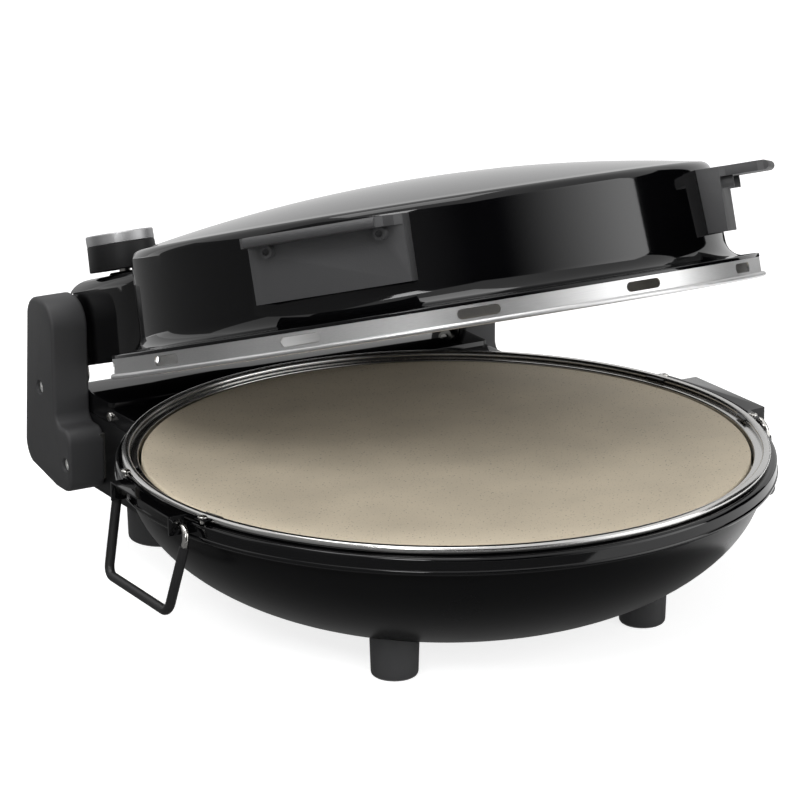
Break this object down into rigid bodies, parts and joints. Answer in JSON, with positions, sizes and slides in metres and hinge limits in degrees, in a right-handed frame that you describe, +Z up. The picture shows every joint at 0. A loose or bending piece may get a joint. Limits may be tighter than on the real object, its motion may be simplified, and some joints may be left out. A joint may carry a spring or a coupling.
{
  "type": "electric pizza maker",
  "caption": "A round electric pizza oven with a glossy black domed lid, a beige baking stone, a steel slotted ring, a control knob and swinging side handles.",
  "frame": {"origin": "on the table, under the middle of the whole outline seen from above", "axes": "+Z up, +Y from the front of the lid opening towards the hinge, +X to the right when looking along +Y"},
  "size_m": [0.3654, 0.3859, 0.253],
  "materials": {
    "gloss_black": "high gloss black enamel",
    "satin_black": "satin black enamel",
    "grey_plastic": "fine matte dark grey",
    "black_plastic": "matte black",
    "brushed": "fine circular brushing",
    "pan_metal": "plain rolled sheet",
    "bright_steel": "bright plated",
    "stone": "dry fired clay, beige and slightly grainy",
    "ceramic": "off-white glazed ceramic",
    "heater_tube": "dull oxidised sheath",
    "dark_rubber": "matte black rubber",
    "console_black": "high gloss black moulding"
  },
  "bodies": {
    "base": {"base_bowl": "satin_black", "base_cover": "gloss_black", "heater_pan": "pan_metal", "pizza_stone": "stone", "lower_element": "heater_tube", "lower_element_clips": "pan_metal", "lower_terminal_block": "ceramic", "rear_housing": "black_plastic", "rear_housing_floor": "black_plastic", "front_foot_left": "grey_plastic", "front_foot_right": "grey_plastic", "rear_foot_left": "grey_plastic", "rear_foot_right": "grey_plastic", "foot_screws": "bright_steel", "hinge_arm_left": "grey_plastic", "hinge_arm_right": "grey_plastic", "hinge_bracket_left": "pan_metal", "hinge_bracket_right": "pan_metal", "hinge_pin_left": "bright_steel", "hinge_pin_right": "bright_steel", "arm_screws": "bright_steel", "cover_screws": "bright_steel", "bail_bracket_left": "gloss_black", "bail_bracket_right": "gloss_black", "bail_bracket_screws": "bright_steel", "cord_gland": "dark_rubber"},
    "lid": {"lid_shell": "gloss_black", "lid_ring": "brushed", "upper_reflector": "pan_metal", "upper_element": "heater_tube", "upper_element_clips": "pan_metal", "upper_terminal_block": "ceramic", "console_cover": "console_black", "console_floor": "black_plastic", "hinge_lug_left": "pan_metal", "hinge_lug_right": "pan_metal", "lug_screws": "bright_steel", "thermostat": "ceramic", "thermostat_nut": "black_plastic", "lid_handle_left": "grey_plastic", "lid_handle_right": "grey_plastic", "lid_handle_screws": "bright_steel"},
    "knob": {"knob_shaft": "bright_steel", "knob_body": "black_plastic", "knob_cap": "brushed"},
    "bail_left": {"bail_wire_left": "bright_steel", "bail_grip_left": "dark_rubber"},
    "bail_right": {"bail_wire_right": "bright_steel", "bail_grip_right": "dark_rubber"}
  },
  "joints": [
    {"name": "lid_hinge", "type": "hinge", "parent": "base", "child": "lid", "pos_m": [0, 0.1685, 0.0955], "axis": [-1, 0, 0], "range_deg": [-17.8, 77.2]},
    {"name": "knob_turn", "type": "hinge", "parent": "lid", "child": "knob", "pos_m": [-0.097, 0.15184, 0.15809], "axis": [0, 0.3057, 0.9521], "range_deg": [0, 270]},
    {"name": "left_bail_swing", "type": "hinge", "parent": "base", "child": "bail_left", "pos_m": [-0.1712, -0.0255, 0.08345], "axis": [0, 1, 0], "range_deg": [-16, 78]},
    {"name": "right_bail_swing", "type": "hinge", "parent": "base", "child": "bail_right", "pos_m": [0.1712, -0.0255, 0.08345], "axis": [0, -1, 0], "range_deg": [-16, 78]}
  ]
}
